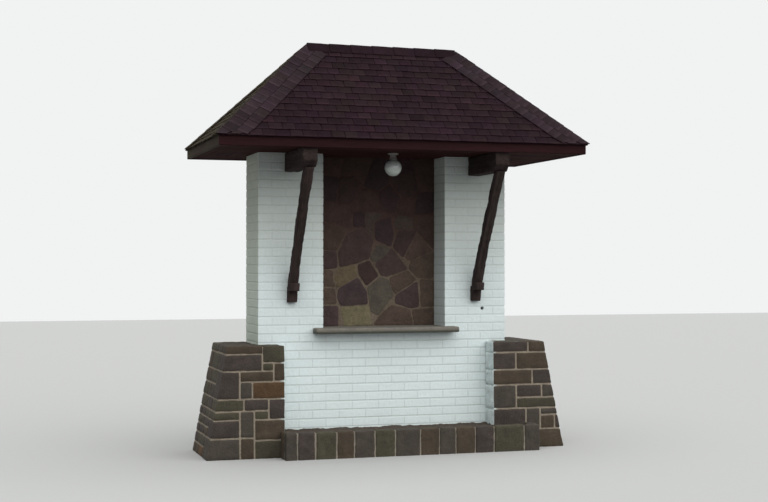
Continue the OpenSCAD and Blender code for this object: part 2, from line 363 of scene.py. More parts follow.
def brickwork(low, high):
    """A block of brickwork between two corners. Each point of its rings moves in by the deeper
    of two grooves, round the nearest bed joint and round the nearest upright joint of its
    course, which stays away from the block's own edges. Each brick stands a little in or out.
    Where the bond runs on into the next block, the points stay on the shared plane."""
    xs = joint_lines(low.x, high.x, brick / 2, wall_low.x)
    ys = joint_lines(low.y, high.y, brick / 2, wall_low.y)
    zs = joint_lines(low.z, high.z, course, 0.0, 0.002)
    if low.x < hole_x < high.x and low.z < hole_z < high.z:
        xs, zs = (np.sort(np.append(lines[np.abs(lines - at) > 2 * hole_r], at + hole_grid))
                  for lines, at in ((xs, hole_x), (zs, hole_z)))
    rings, side, push = box_rings(xs, ys, zs)
    x, y, z = np.moveaxis(rings, -1, 0)
    shared = (np.abs(x) < niche_half + on_plane) & (y > wall_high.y - on_plane)
    push = np.where(shared[..., None], (0, 1, 0), push)
    deep = side % 2
    along = np.where(deep, y - wall_low.y, x - wall_low.x)
    to_edge = np.where(deep, np.minimum(y - low.y, high.y - y), np.minimum(x - low.x, high.x - x))
    row = np.floor(z / course)
    shifted = along - (row + deep) % 2 * brick / 2
    bed = groove(to_nearest(z, course))
    upright = groove(to_nearest(shifted, brick)) * (to_edge > brick / 8)
    label = points_at(np.floor(shifted / brick), row, side) + 0.5
    setting = brick_stagger * lattice_noise(label, 1.0, 3.0) * (1 - np.maximum(bed, upright))
    wave = relief(rings, (0.0008, 0.12, 5.0), (0.0004, 0.03, 6.0))
    depth = np.maximum(bed * bed_depth, upright * perpend_depth)
    moved = rings + push * (setting + wave - depth)[..., None]
    shade = smooth_step(depth / bed_depth) * (1 - fade_share * smooth_step((z - fade_from) / fade_over))
    coat = paint_white * (1 + 0.022 * lattice_noise(label, 1.0, 4.0))[..., None]
    tone = blend(coat, joint_grey, shade[..., None])
    tone = blend(tone, damp_green, damp_share * np.exp(-z / damp_height)[..., None])
    # Painted shade: the left side is darker and a little greener
    left_side = (side == 3) & (x < wall_low.x + on_plane)
    tone = tone * np.where(left_side[..., None], left_side_shade, 1)
    # Painted shade under the eaves: the paint darkens and warms towards the top of the wall
    tone = tone * (1 - eaves_shade * smooth_step((z - eaves_shade_from) / eaves_shade_over)[..., None])
    # Painted shade in the drilled hole: its inside turns nearly black
    well = 1 - smooth_step((np.hypot(x - hole_x, z - hole_z) / hole_r - 0.75) / 0.45)
    well = (well * (y < wall_low.y + on_plane))[..., None]
    tone = blend(tone, hole_shade, np.minimum(well * 1.5, 1))
    return skin(moved + well * (0, hole_depth, 0), tone)


masonry_paint = weathered(
    "masonry_paint", roughness=0.62,
    mottles=[(0.6, 0.03), (0.03, 0.03)],
    layers=[((0.50, 0.53, 0.47), 0.5, 0.56, 0.9, 0.30)],
    bump=[(0.03, 0.0035), (0.007, 0.0012)],
)
for name in ("base_wall", "left_pier", "right_pier", "back_wall"):
    bodies = [brickwork(*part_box(name))]
    piece(f"{name}_bricks", bodies, masonry_paint, [name], sharp=50)

# Stone lining of the niche
# Broken slabs of sandstone in ochre, olive, purple and brown, laid as crazy paving in a bed of
# mortar that covers the back of the niche. The joints are struck a little below the stones.
lining_low, lining_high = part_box("stone_lining")
joint_drop = 0.0035
# A slab's back and its face, measured out from the lining's face, and how far its outline grows
slab_bed, slab_proud, slab_spread = -0.014, 0.0005, 0.0045
lining_mortar = rgb(0.140, 0.108, 0.078)
# Painted shade under the roof on the lining: how far it darkens each channel at most, where it starts
# and over what height it grows
roof_shade_tint = rgb(0.40, 0.52, 0.50)
roof_shade_from, roof_shade_over = 1.45, 0.75
sandstones = {
    "ochre": rgb(0.125, 0.094, 0.056),
    "olive": rgb(0.160, 0.138, 0.080),
    "purple": rgb(0.048, 0.0305, 0.0315),
    "plum": rgb(0.056, 0.035, 0.0335),
    "grey": rgb(0.060, 0.0390, 0.0345),
    "moss": rgb(0.082, 0.069, 0.052),
    "brown": rgb(0.078, 0.0535, 0.039),
    "rust": rgb(0.083, 0.055, 0.042),
    "umber": rgb(0.041, 0.0230, 0.0200),
}
# Corners of each slab in centimetres from the middle of the niche and from the ground
slabs = [
    ("plum", [(-56.5, 128.5), (-36, 128.5), (-35.5, 111), (-56.5, 111)]),
    ("brown", [(-56.5, 145), (-39, 144.5), (-37, 131), (-56.5, 130.5)]),
    ("olive", [(-33, 127.4), (-6.8, 128.6), (-3.7, 111.5), (-29.3, 111)]),
    ("ochre", [(-35.4, 163), (-18.4, 166.5), (-17, 156.2), (-35.4, 146), (-39, 154)]),
    ("purple", [(-35.4, 144), (-17, 154.5), (-8.5, 141), (-7.6, 130.6), (-33, 129.4), (-36, 136)]),
    ("umber", [(-16.5, 166.4), (-5.8, 170), (2.6, 156.4), (-8.4, 147.6), (-16, 158)]),
    ("grey", [(-33.6, 164.6), (-34.8, 178.6), (-26.3, 195), (-11.8, 199.4), (-2.2, 189.4),
              (-6, 172.6), (-18, 168.2)]),
    ("plum", [(-56.5, 179), (-37.5, 178.5), (-36.5, 163.8), (-56.5, 162)]),
    ("brown", [(-56.5, 160.4), (-40.5, 161), (-41, 152), (-38, 147), (-56.5, 146.6)]),
    ("brown", [(-56.5, 206), (-28.5, 198.8), (-36.4, 180.2), (-56.5, 180.6)]),
    ("rust", [(-56.5, 223.6), (-23, 221.5), (-22, 201.8), (-27, 200.2), (-42, 206.6), (-56.5, 208)]),
    ("purple", [(-20.6, 214), (-11.8, 215.6), (-9.8, 201.4), (-20.6, 201.4)]),
    ("moss", [(-10.2, 214.6), (7.4, 213.4), (-2.4, 203.6), (-3.4, 191.8), (-9.4, 200.4)]),
    ("purple", [(-0.7, 204.6), (14.6, 210.6), (17.4, 194), (15, 183.6), (0.6, 189.4)]),
    ("moss", [(20.4, 212.6), (35.8, 210), (35.6, 200), (22.6, 199.4), (18.2, 203.4)]),
    ("plum", [(22.4, 197), (39.8, 198), (26.4, 173.4), (17.4, 183.4)]),
    ("rust", [(41.8, 194.4), (54.6, 179.6), (34.4, 170.8), (28.6, 172.6)]),
    ("moss", [(1.6, 184.6), (11.6, 182.8), (13.6, 178), (-0.9, 168.6), (-5, 173.2)]),
    ("grey", [(15.6, 181.6), (31, 162.6), (10.5, 155.6), (5.6, 157), (0, 167.2)]),
    ("brown", [(34.4, 169), (56.5, 178), (56.5, 154), (42, 154), (32.4, 163)]),
    ("brown", [(13.8, 154), (31.4, 160.8), (39.8, 152.8), (19, 139.8), (14.6, 147)]),
    ("moss", [(-7.4, 146), (4.8, 154.8), (12.4, 152.8), (17.4, 138.8), (3, 120.4), (-3.8, 123.6),
              (-6.6, 137.6)]),
    ("plum", [(19.6, 138), (40.6, 150.6), (42, 128), (34.4, 126.4), (18.6, 131.2)]),
    ("brown", [(43.8, 152.4), (56.5, 152.4), (56.5, 128), (44.6, 128)]),
    ("rust", [(15.6, 129.4), (33.6, 124.8), (36, 111.5), (-1.6, 111.5), (4.4, 119.6)]),
    ("brown", [(35.6, 124.6), (56.5, 126), (56.5, 111), (38.2, 111)]),
    ("brown", [(37.8, 210.6), (56.5, 213), (56.5, 181), (43.6, 195.4), (37.4, 199.8)]),
    ("purple", [(-56.5, 226), (-37, 224.4), (-35.6, 246), (-56.5, 248)]),
    ("grey", [(-35, 224), (-22.4, 223.4), (-15, 238), (-20.4, 247), (-33.6, 246)]),
    ("brown", [(-21, 220.4), (-12, 217.6), (4, 216.2), (1.6, 232.4), (-13, 236.4)]),
    ("plum", [(6, 215.6), (18.8, 215), (23.4, 229), (14, 239.8), (3.6, 233)]),
    ("rust", [(21.2, 215), (36, 212.2), (39.4, 226.4), (25.4, 228.4)]),
    ("purple", [(38.2, 212.8), (56.5, 215), (56.5, 234), (41.6, 233)]),
    ("rust", [(-56.5, 250), (-34.4, 248), (-31, 264), (-56.5, 264)]),
    ("brown", [(-32.6, 248), (-19.6, 249), (-13, 240), (-2.6, 264), (-29.4, 264)]),
    ("purple", [(-11.2, 238.4), (2.4, 234.8), (12.6, 242), (11.6, 264), (-0.9, 264)]),
    ("grey", [(15, 242.4), (25.4, 230.6), (39.4, 228.4), (40, 240), (35.6, 264), (13.4, 264)]),
    ("brown", [(41.8, 235.2), (56.5, 236), (56.5, 264), (37.4, 264)]),
]


def rounded_outline(corners, spacing, rounding):
    """Even points along the straight lines between the corners, each averaged with its
    neighbours over the rounding length, which turns the corners into curves."""
    closed = np.array([*corners, corners[0]], float)
    x, y = closed.T
    if np.sum(x[:-1] * y[1:] - x[1:] * y[:-1]) < 0:
        closed = closed[::-1]
    run = np.concatenate([[0], np.cumsum(np.hypot(*np.diff(closed, axis=0).T))])
    at = np.arange(0, run[-1] - spacing / 2, run[-1] / round(run[-1] / spacing))
    even = np.stack([np.interp(at, run, closed[:, k]) for k in (0, 1)], 1)
    reach = max(1, round(rounding / spacing / 2))
    return sum(np.roll(even, shift, 0) for shift in range(-reach, reach + 1)) / (2 * reach + 1)


def unit(vectors):
    """The vectors at a length of 1."""
    return vectors / np.linalg.norm(vectors, axis=-1, keepdims=True)


def at_height(flat, z):
    """Flat points raised to a height."""
    return points_at(*np.moveaxis(flat, -1, 0), z)


def stone(corners, bed, proud, tone, seed, edge, rough, rounding=0.02, spacing=0.012,
          dome=0.002, sides=1, spread=0.0, place=lambda spots: spots):
    """One stone as a closed body over an outline. Rings climb straight from the bed, turn over
    a quarter round at the edge, then shrink towards the middle on a low dome. Lattice noise
    roughens outline and face, and the spread widens the outline. It is built lying flat, and
    carried to its place."""
    outline = rounded_outline(corners, spacing, rounding)
    tangent = np.roll(outline, -1, 0) - np.roll(outline, 1, 0)
    normal = unit(tangent[:, ::-1] * (1, -1))
    uneven = lattice_noise(at_height(outline, seed * 1.7), 0.06, seed)[:, None]
    outline = outline + normal * (spread + rough * 1.5 * uneven)
    # Each ring's height, its inset from the outline, its size and how far it faces up
    steps = [(height, 0, 1, 0) for height in np.linspace(bed, proud - edge, sides + 1)[:-1]]
    for turn in np.radians([0, 30, 60, 90]):
        up = np.sin(turn)
        steps.append((proud - edge * (1 - up), edge * (1 - np.cos(turn)), 1, up))
    steps += [(proud + dome * up, edge, size, 1) for up, size in ((0.5, 0.74), (0.8, 0.46), (1, 0.2))]
    height, inset, shrink, facing = np.array(steps).T[..., None, None]
    middle = outline.mean(0)
    flat = middle + (outline - normal * inset - middle) * shrink
    spots = at_height(flat, height[..., 0])
    out = at_height(normal * (1 - facing), facing[..., 0])
    grit = relief(spots, (1, 0.04, seed), (0.5, 0.013, seed + 1))
    spots = spots + out * (rough * grit)[..., None]
    shade = 1 + 0.10 * lattice_noise(spots, 0.09, seed + 2)[..., None]
    return skin(place(spots), tone * shade)


def roof_shade_factor(z):
    """How much of its own tone the lining keeps at a height: all of it up to where the painted
    shade starts, and above that a smooth step of brown painted shade takes it down to about half under
    the roof."""
    return 1 - roof_shade_tint * smooth_step((np.asarray(z) - roof_shade_from) / roof_shade_over)[..., None]


def on_lining(spots):
    """Carries flat points to the niche: their y becomes the height, and their z the distance in
    front of the lining's face."""
    return spots[..., [0, 2, 1]] * (1, -1, 1) + (0, lining_low.y, 0)


# The bed of mortar is the lining's box, with its front set back by the drop of the joints and a
# low noise. The painted shade under the roof counts twice on it.
xs = np.linspace(lining_low.x, lining_high.x, 40)
ys = np.array([lining_low.y, lining_high.y])
zs = np.linspace(lining_low.z, lining_high.z, 54)
rings, side, _ = box_rings(xs, ys, zs)
front = (side == 0) | (side == 1) & (np.roll(side, 1) == 0)
sunk = joint_drop + 0.0012 * lattice_noise(rings, 0.05, 8.0)
rings[..., 1] += np.where(front, sunk, 0)
bodies = [skin(rings, lining_mortar * roof_shade_factor(rings[..., 2]) ** 2)]
for number, (name, corners) in enumerate(slabs):
    slab = np.array(corners) / 100
    # Each slab takes the painted shade under the roof at its mean height
    tone = sandstones[name] * roof_shade_factor(slab[:, 1].mean())
    bodies.append(stone(slab, slab_bed, slab_proud, tone, number, edge=0.0035, rough=0.0024,
                        spread=slab_spread, place=on_lining))
sandstone = weathered(
    "sandstone", roughness=0.78,
    mottles=[(0.10, 0.30), (0.022, 0.22), (0.006, 0.18)],
    layers=[((0.038, 0.027, 0.024), 0.10, 0.54, 0.8, 0.55),
            ((0.13, 0.098, 0.070), 0.04, 0.60, 0.78, 0.35)],
    bump=[(0.06, 0.016), (0.014, 0.005), (0.004, 0.0015)],
)
piece("niche_crazy_paving", bodies, sandstone, ["stone_lining"])

# Stone sill
# One slab of sandstone let in between the piers, with ears that lap their faces. Its upper
# front arris is worn round, and a drip groove cut under the nose stops short of its ends.
sill_low, sill_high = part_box("sill_slab")
pier_face = wall_low.y
nose_bevel = 0.008
drip_y = sill_low.y + 0.028
drip_depth = 0.006
chip_depth = 0.008
end_round = 0.012
sill_tone = rgb(0.166, 0.154, 0.130)
# Painted shade on the lower half of the sill's section, darkest at its underside
sill_shade = rgb(0.0455, 0.048, 0.034)
drip = [(drip_y + y, sill_low.z + z)
        for y, z in ((0.007, 0), (0.004, drip_depth), (-0.004, drip_depth), (-0.007, 0))]
sill_profile = [
    (lining_low.y, sill_low.z), *drip, (sill_low.y, sill_low.z),
    (sill_low.y, sill_high.z - nose_bevel), (sill_low.y + nose_bevel, sill_high.z),
    (lining_low.y, sill_high.z),
]
# The section is carried along stations from end to end. In the ears, what would lie behind the
# piers' faces is squeezed to in front of them. The drip groove dies out towards both ends, and
# over the last millimetres the section draws in towards its middle, which rounds the ends.
profile_y, profile_z = rounded_outline(sill_profile, 0.005, 0.006).T
notch = lining_high.x
ear = np.linspace(notch + 0.001, sill_high.x - end_round, 8)
right = np.concatenate([ear, sill_high.x - np.array([0.006, 0.002, 0])])
stations = np.concatenate([-right[::-1], np.linspace(-notch, notch, 90), right])
to_end = sill_high.x - np.abs(stations)
in_front = pier_face - end_round
squeezed = np.interp(profile_y, [in_front, lining_low.y], [in_front, pier_face])
squeezed = np.where(profile_y < in_front, profile_y, squeezed)
y = np.where(np.abs(stations)[:, None] > notch, squeezed, profile_y)
in_drip = (np.abs(profile_y - drip_y) < 0.014) & (profile_z < sill_low.z + drip_depth + 0.001)
cut = smooth_step((to_end - 0.02) / 0.02)[:, None]
z = np.where(in_drip, blend(sill_low.z, profile_z, cut), profile_z)
mid_y, mid_z = (sill_low.y + pier_face) / 2, (sill_low.z + sill_high.z) / 2
draw_in = np.interp(to_end, [0, 0.002, 0.006, end_round], [0.006, 0.003, 0.001, 0])[:, None]
held = np.clip((pier_face - y) / end_round, 0, 1)
y = y - np.clip((y - mid_y) / 0.015, -1, 1) * draw_in * held
z = z - np.clip((z - mid_z) / 0.015, -1, 1) * draw_in
rings = points_at(stations[:, None], y, z)
# Wear moves the nose back by twice the size of a noise, and the top by the same noise less a
# millimetre. Chips are out of the nose's upper half where another noise is high.
worn = relief(rings, (0.0016, 0.05, 11.0), (0.0008, 0.015, 12.0))
nose = rings[..., 1] < sill_low.y + 0.02
rings[..., 1] += np.where(nose, np.abs(worn) * 2, 0)
rings[..., 2] += np.where(rings[..., 2] > sill_high.z - 0.01, worn - 0.001, 0)
chips = np.clip(lattice_noise(rings, 0.045, 13.0) - 0.35, 0, 1) * nose * (rings[..., 2] > mid_z)
rings += (0, chip_depth, -chip_depth) * chips[..., None]
sill_stone = weathered(
    "sill_stone", roughness=0.8,
    mottles=[(0.12, 0.12), (0.015, 0.12)],
    layers=[((0.075, 0.07, 0.055), 0.10, 0.52, 0.78, 0.6),
            ((0.23, 0.22, 0.18), 0.03, 0.60, 0.75, 0.5)],
    bump=[(0.03, 0.002), (0.006, 0.0010)],
)
# Painted shade: the lower half of the section blends into the darker tone
low_share = smooth_step((mid_z + 0.004 - rings[..., 2]) / 0.018)[..., None]
slab = skin(rings, blend(sill_tone, sill_shade, low_share))
piece("sill_stone_slab", [slab], sill_stone, ["sill_slab"], sharp=40)

# Corner buttresses
# Squared rubble of dark greywacke, laid in light mortar round the two corners of the wall. The
# outer side and the front lean back, flat stones cap the top, and the wall's white paint covers
# the inner side too.
butt_low, butt_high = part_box("right_buttress")
inner_x, outer_x = butt_low.x, butt_high.x
front_foot, butt_top = butt_low.y, butt_high.z
outer_top_x = wall_high.x + 0.305
front_top = pier_face - 0.19
back_y, wall_x = wall_high.y, wall_high.x
joint_recess = 0.004
arris = 0.009
stone_gap = 0.012
stone_depth = 0.03
grid_pitch = 0.024
end_gap = 0.004
# Lengths by chance: round the outer corner, along the outer side, from the back corner on both
# of its sides. Then the shortest stone, what is parted in two, and the share of rusty stones
outer_turn, side_stone = (0.13, 0.27), (0.14, 0.30)
back_corner, back_turn = (0.10, 0.22), (0.11, 0.19)
shortest_stone = 0.10
tall_course, wide_back = 0.14, 0.24
rust_share = 0.14
rubble_mortar = rgb(0.245, 0.207, 0.158)
greywacke = {
    "plum": rgb(0.045, 0.035, 0.0295),
    "grey": rgb(0.050, 0.042, 0.033),
    "brown": rgb(0.0535, 0.040, 0.0265),
    "olive": rgb(0.0515, 0.046, 0.0295),
    "rust": rgb(0.074, 0.042, 0.0195),
}
# Plan corners of the right buttress at the ground and at its top, from the wall's face round
# the inner, front, outer and back sides to the wall's flank
foot_plan, top_plan = (
    np.array([(inner_x, pier_face), (inner_x, y), (x, y), (x, back_y), (wall_x, back_y)])
    for x, y in ((outer_x, front_foot), (outer_top_x, front_top))
)
side_way = np.array([(0, -1), (1, 0), (0, 1), (-1, 0)], float)
side_out = np.array([(-1, 0), (0, -1), (1, 0), (0, 1)], float)
INNER, FRONT, OUTER, BACK = range(4)
# Stones of each front in millimetres: from and to, measured from the inner edge, then from and
# to above the ground. A stone whose second number is None turns the outer corner.
fronts = {
    "left": [
        (193, None, 900, 965, "brown"), (0, 190, 824, 965, "olive"), (200, None, 754, 890, "plum"),
        (0, 90, 666, 814, "brown"), (100, 190, 754, 814, "olive"), (100, 386, 664, 744, "brown"),
        (398, None, 516, 744, "plum"), (288, 386, 516, 654, "grey"), (0, 277, 516, 654, "rust"),
        (362, None, 414, 506, "olive"), (146, 352, 416, 506, "plum"), (0, 134, 338, 506, "plum"),
        (398, None, 339, 404, "olive"), (146, 262, 339, 405, "olive"),
        (272, 386, 186, 405, "grey"), (398, None, 185, 329, "plum"), (0, 261, 163, 328, "brown"),
        (398, None, 0, 174, "grey"), (272, 386, 0, 175, "brown"), (0, 261, 0, 152, "olive"),
    ],
    "right": [
        (0, 338, 874, 965, "plum"), (350, None, 874, 965, "brown"), (0, 218, 718, 862, "plum"),
        (230, None, 718, 862, "brown"), (0, 376, 580, 706, "brown"), (388, None, 580, 706, "plum"),
        (0, 218, 366, 568, "grey"), (230, 468, 462, 568, "plum"), (480, None, 462, 568, "grey"),
        (230, None, 366, 450, "olive"), (0, 312, 168, 354, "plum"), (324, 452, 174, 354, "grey"),
        (464, None, 300, 354, "grey"), (464, 594, 174, 288, "brown"),
        (606, None, 174, 288, "plum"), (344, None, 0, 162, "brown"), (0, 332, 0, 156, "olive"),
    ],
}
# Plan corners of the cap stones in centimetres
cap_stones = [
    ("olive", [(99, -27), (121.5, -27), (119.5, -10), (99, -10)]),
    ("brown", [(123, -27), (144.5, -27), (143.5, -8), (121, -10)]),
    ("grey", [(117.4, -8.6), (141, -6.6), (144, 11), (117.4, 9.6)]),
    ("plum", [(117.4, 11), (144, 12.4), (142, 27), (117.4, 29)]),
    ("brown", [(117.4, 30.4), (142, 28.4), (144, 41.6), (117.4, 42)]),
]


def plan_corner(number, z):
    """A corner of the plan at a height: on the straight line from its foot to its top."""
    return blend(foot_plan[number], top_plan[number], np.asarray(z)[:, None] / butt_top)


def along_side(side, run, z):
    """The point at a height on a side, at a run from the side's start, or back from its end if
    the run is negative."""
    return plan_corner(side + (run < 0), z) + side_way[side] * run


def halves(start, end, middle, parted):
    """From the start to the end, in one span, or parted by a joint round the middle."""
    if parted:
        return [(start, middle - stone_gap / 2), (middle + stone_gap / 2, end)]
    return [(start, end)]


def edge_lines(length):
    """Distances from 0 to the length: close together in the worn edge at both ends, and about
    a grid pitch apart between."""
    middle = np.linspace(arris, length - arris, max(2, round(length / grid_pitch)))
    return np.concatenate([[0, arris * 0.3], middle, [length - arris * 0.3, length]])


def squared_stone(posts, low, high, tone, seed):
    """A squared stone between two heights, on one or more sides of the buttress. Its grid runs
    straight between upright lines, each given by its side and run, from joint to joint and over
    the corners. The face falls away on a quarter round at every joint, and by the cube of the
    nearness at a corner, where points also back off along their side as far as the other face
    falls."""
    z = low + edge_lines(high - low)
    ends = np.stack([along_side(*post, z) for post in posts], 1)
    sides = [side for side, _ in posts[:-1]]
    lines = []
    for leg in range(len(sides)):
        length = np.hypot(*(ends[:, leg + 1] - ends[:, leg]).mean(0))
        last = leg == len(sides) - 1
        for run in edge_lines(length)[min(leg, 1):]:
            from_start, to_stop = run, length - run
            to_end = min(1 if leg else from_start, to_stop if last else 1)
            to_corner = min(from_start if leg else 1, 1 if last else to_stop)
            lines.append((run / length, leg, to_end, to_corner))
    share, leg, to_end, to_corner = np.array(lines).T
    leg = leg.astype(int)
    spots = blend(ends[:, leg], ends[:, leg + 1], share[:, None])
    turning = (to_corner == 0) & (share == 1)
    next_out = side_out[sides][np.minimum(leg + 1, len(sides) - 1)]
    out = side_out[sides][leg] + np.where(turning[:, None], next_out, 0)
    to_joint = np.minimum(z - low, high - z)[:, None]
    short = np.hypot(np.maximum(arris - to_end, 0), np.maximum(arris - to_joint, 0))
    fall = arris - np.sqrt(arris**2 - np.minimum(short, arris) ** 2)
    near = np.maximum(1 - to_corner / arris, 0)
    pale_edge = np.clip(fall / arris + 0.5 * near, 0, 0.6)
    fall = fall + 0.18 * arris * near**3
    spots = at_height(spots, z[:, None])
    face = 0.0045 * np.abs(lattice_noise(spots, 0.09, seed)) - 0.0012
    face = face + relief(spots, (0.0024, 0.035, seed + 1), (0.0012, 0.014, seed + 2))
    lift = 0.001 + face * (1 - fall / arris) - fall
    wobble = 0.003 * lattice_noise(spots, 0.05, seed + 2)
    beside_corner = np.maximum(1 - to_corner / (3 * arris), 0) * (to_corner > 0)
    back_off = np.maximum(-lift, 0) * beside_corner
    away = side_way[sides][leg] * np.where(leg > 0, 1, -1)[:, None]
    spots[..., :2] += out * lift[..., None] + away * back_off[..., None]
    spots[..., 2] += np.where((z > 0.01) & (z < butt_top - 0.01), 1, 0)[:, None] * wobble
    seat = spots[:, [-1, 0]].copy()
    seat[..., :2] -= side_out[sides][[-1, 0]] * stone_depth
    rings = np.concatenate([spots, seat], 1)
    shade = 1 + 0.16 * lattice_noise(rings, 0.08, seed + 3)[..., None]
    pale_edge = np.concatenate([pale_edge, 0 * seat[..., 0]], 1)[..., None]
    painted_here = (sides[0] == INNER) & np.append(leg == 0, [False, True])[:, None]
    tone = tone * shade * (1 + 0.35 * pale_edge)
    return skin(rings, np.where(painted_here, paint_white * (0.9 + 0.1 * shade), tone))


def rubble(front, seed):
    """All stones of a right buttress. The front stones keep their places. Those at the inner
    edge turn onto the inner side, and those at the outer edge turn onto the outer side, where
    stones of random length follow them in the same course up to the back corner and round it.
    A tall course is split in two there."""
    chance = np.random.default_rng(seed)
    names = ["plum", "grey", "brown", "olive"]
    laid = []
    for number, (start, stop, low, high, tone) in enumerate(front):
        low, high = low / 1000, high / 1000
        salt = seed + 3 * number
        posts = [(FRONT, start / 1000)] if start else [(INNER, end_gap), (FRONT, 0)]
        if stop is not None:
            laid.append(([*posts, (FRONT, stop / 1000)], low, high, tone, salt))
            continue
        first = chance.uniform(*outer_turn)
        laid.append(([*posts, (OUTER, 0), (OUTER, first)], low, high, tone, salt))
        middle = (low + high) / 2
        outer_run = back_y - plan_corner(OUTER, [middle])[0, 1]
        for bottom, top in halves(low, high, middle, high - low >= tall_course):
            at = first + stone_gap
            room = outer_run - chance.uniform(*back_corner)
            while at < room - shortest_stone:
                size = min(chance.uniform(*side_stone), room - stone_gap - at)
                if room - (at + size) < shortest_stone:
                    size = room - stone_gap - at
                name = names[chance.integers(4)] if chance.random() < 1 - rust_share else "rust"
                salt += 0.37
                laid.append(([(OUTER, at), (OUTER, at + size)], bottom, top, name, salt))
                at += size + stone_gap
            around = chance.uniform(*back_turn)
            name = names[chance.integers(4)]
            posts = [(OUTER, at), (BACK, 0), (BACK, around)]
            laid.append((posts, bottom, top, name, salt + 0.2))
            begin = around + stone_gap
            rest = plan_corner(BACK, [middle])[0, 0] - wall_x - begin
            split = begin + rest / 2 + chance.uniform(-0.03, 0.03)
            for begin, finish in halves(begin, -end_gap, split, rest > wide_back):
                name = names[chance.integers(4)]
                salt += 0.41
                laid.append(([(BACK, begin), (BACK, finish)], bottom, top, name, salt))
    bodies = [squared_stone(posts, low, high, greywacke[name], salt)
              for posts, low, high, name, salt in laid]
    for number, (tone, corners) in enumerate(cap_stones):
        bodies.append(stone(np.array(corners) / 100, butt_top - 0.03, butt_top + 0.002,
                            greywacke[tone], seed + number, edge=0.008, rough=0.003))
    return bodies


def mortar_core():
    """The buttress's own solid behind its stones: rings of the L-shaped plan, drawn in by the
    depth of the joints."""
    z = np.linspace(0, butt_top - 0.006, 30)
    corners = [plan_corner(k, z) for k in range(5)]
    corners.append(np.broadcast_to((wall_x, pier_face), (len(z), 2)))
    inward = np.array([(1, 0), (1, 1), (-1, 1), (-1, -1), (0, -1), (0, 0)])
    corners = np.stack(corners, 1) + inward * joint_recess
    share = np.linspace(0, 1, 14, endpoint=False)[:, None]
    flat = blend(corners[:, :, None], np.roll(corners, -1, 1)[:, :, None], share)
    rings = at_height(flat.reshape(len(z), -1, 2), z[:, None])
    inner_side = rings[..., :1] < inner_x + joint_recess + on_plane
    corner_x = (wall_x + np.array([outer_x, outer_top_x])) / 2
    corner_y = (pier_face + np.array([front_foot, front_top])) / 2
    hubs = points_at(corner_x, corner_y, z[[0, -1]])
    return skin(rings, np.where(inner_side, joint_grey, rubble_mortar), hubs=hubs)


greywacke_finish = weathered(
    "greywacke", roughness=0.85,
    mottles=[(0.09, 0.20), (0.014, 0.22)],
    layers=[((0.11, 0.094, 0.070), 0.05, 0.60, 0.80, 0.35),
            ((0.030, 0.028, 0.019), 0.14, 0.55, 0.82, 0.5)],
    bump=[(0.04, 0.008), (0.010, 0.003)],
)
for name, sign in (("left", -1), ("right", 1)):
    bodies = [mortar_core()] + rubble(fronts[name], 20 + sign)
    if sign < 0:
        flip = np.array([-1, 1, 1])
        bodies = [(points * flip, tone, grain * flip, quads[:, ::-1], fans[:, ::-1])
                  for points, tone, grain, quads, fans in bodies]
    piece(f"{name}_buttress_rubble", bodies, greywacke_finish,
          [f"{name}_buttress"], sharp=45)

# Planter kerb
# Upright blocks of the same greywacke set side by side in the ground in front of the wall and
# back to the buttresses, with light mortar in the joints.
kerb_low, kerb_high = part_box("front_kerb")
left_low, left_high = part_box("left_kerb")
right_low, right_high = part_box("right_kerb")
kerb_gap = 0.011
kerb_recess = 0.009
kerb_mortar = rgb(0.235, 0.205, 0.165)
kerb_tones = iter(["grey", "plum", "olive", "brown", "grey", "olive", "grey", "brown", "grey",
                   "brown", "plum", "olive", "grey", "brown", "grey", "grey"])
kerb_seeds = itertools.count(40)
# Joints of the front run in metres from the middle of the wall
front_joints = [-0.901, -0.743, -0.559, -0.399, -0.213, -0.026, 0.201, 0.379, 0.533, 0.716,
                0.896, 1.184]
ends_x = [kerb_low.x, *front_joints, kerb_high.x]
kerb_blocks = {
    "front": [rectangle(a + kerb_gap / 2, kerb_low.y, b - kerb_gap / 2, kerb_high.y)
              for a, b in zip(ends_x[:-1], ends_x[1:])],
    "left": [rectangle(left_low.x, left_low.y + kerb_gap, left_high.x, front_foot - 0.004),
             rectangle(0.004 - inner_x, front_foot + 0.006, left_high.x, left_high.y - 0.004)],
    "right": [rectangle(right_low.x, right_low.y + kerb_gap, right_high.x, front_foot - 0.002)],
}
kerb_stone = weathered(
    "kerb_stone", roughness=0.86,
    mottles=[(0.08, 0.20), (0.014, 0.22)],
    layers=[((0.13, 0.112, 0.088), 0.04, 0.60, 0.80, 0.35),
            ((0.032, 0.032, 0.020), 0.12, 0.54, 0.80, 0.5)],
    bump=[(0.035, 0.008), (0.009, 0.003)],
)
